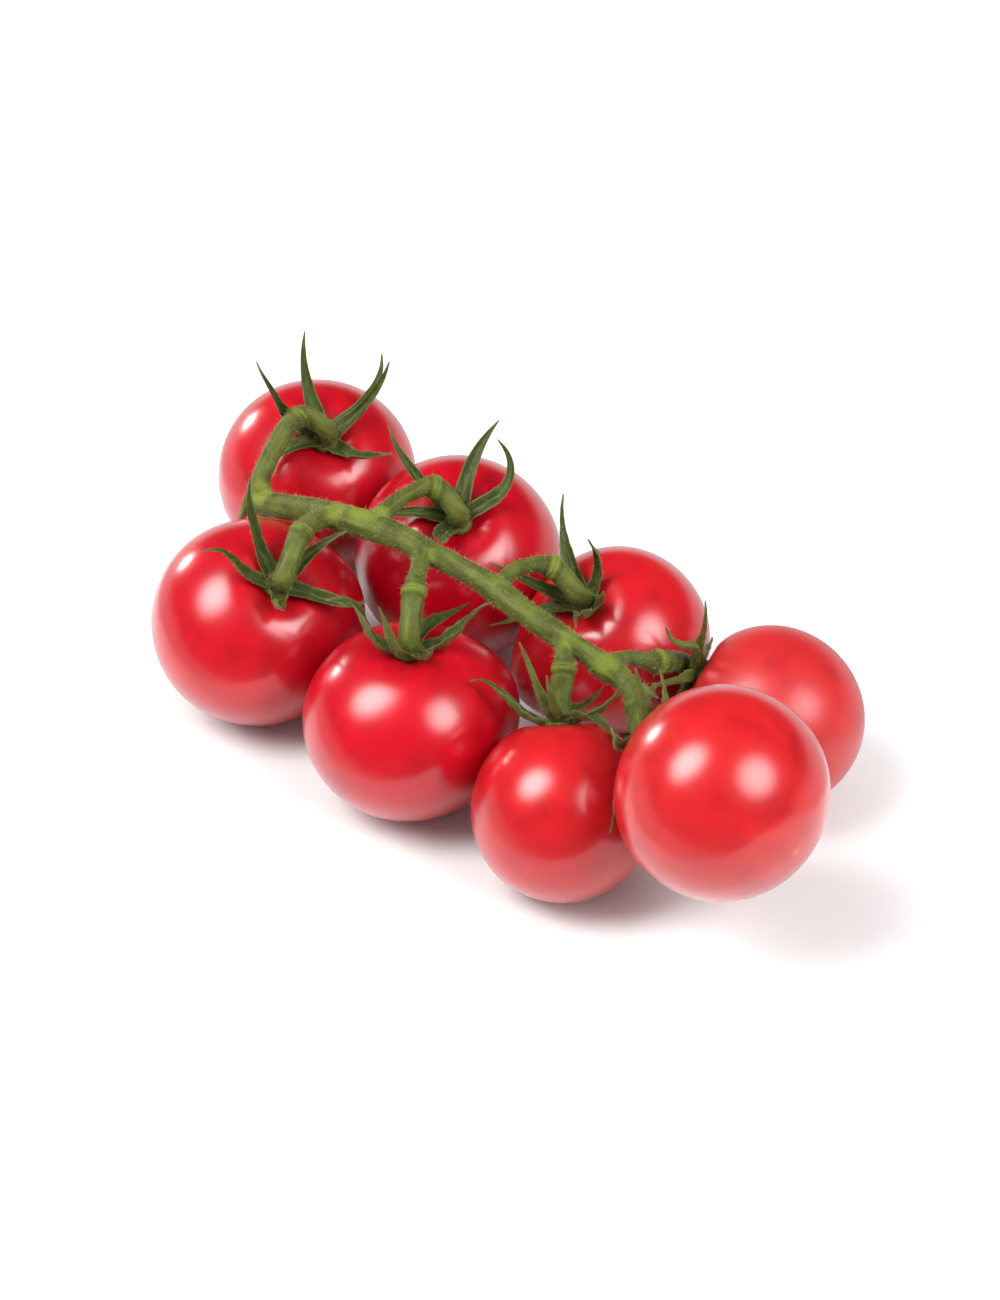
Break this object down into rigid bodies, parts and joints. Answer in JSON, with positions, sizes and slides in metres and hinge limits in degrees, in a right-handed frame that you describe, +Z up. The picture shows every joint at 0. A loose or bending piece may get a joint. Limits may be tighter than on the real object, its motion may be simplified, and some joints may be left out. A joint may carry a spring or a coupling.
{
  "type": "truss of tomatoes",
  "caption": "Truss of ripe round vine tomatoes lying on their sides around a green branching stem, each fruit hung from a knuckled stalk with a star of pointed sepals.",
  "frame": {"origin": "middle of the bounding box, on the surface that the truss lies on", "axes": "+X along the truss, away from the cut end of its main stem; +Z up"},
  "size_m": [0.24, 0.1194, 0.0755],
  "materials": {
    "tomato_skin": "ripe red tomato skin, smooth and shiny",
    "vine_stem": "fresh green stem, matt with short fine hairs",
    "calyx": "fresh dark green sepals and stalks, matt with short fine hairs"
  },
  "bodies": {
    "root": {"vine_stem": "vine_stem", "calyx_1": "calyx", "calyx_2": "calyx", "calyx_3": "calyx", "calyx_4": "calyx", "calyx_5": "calyx", "calyx_6": "calyx", "calyx_7": "calyx", "calyx_8": "calyx", "tomato_1": "tomato_skin", "tomato_2": "tomato_skin", "tomato_3": "tomato_skin", "tomato_4": "tomato_skin", "tomato_5": "tomato_skin", "tomato_6": "tomato_skin", "tomato_7": "tomato_skin", "tomato_8": "tomato_skin"}
  },
  "joints": []
}
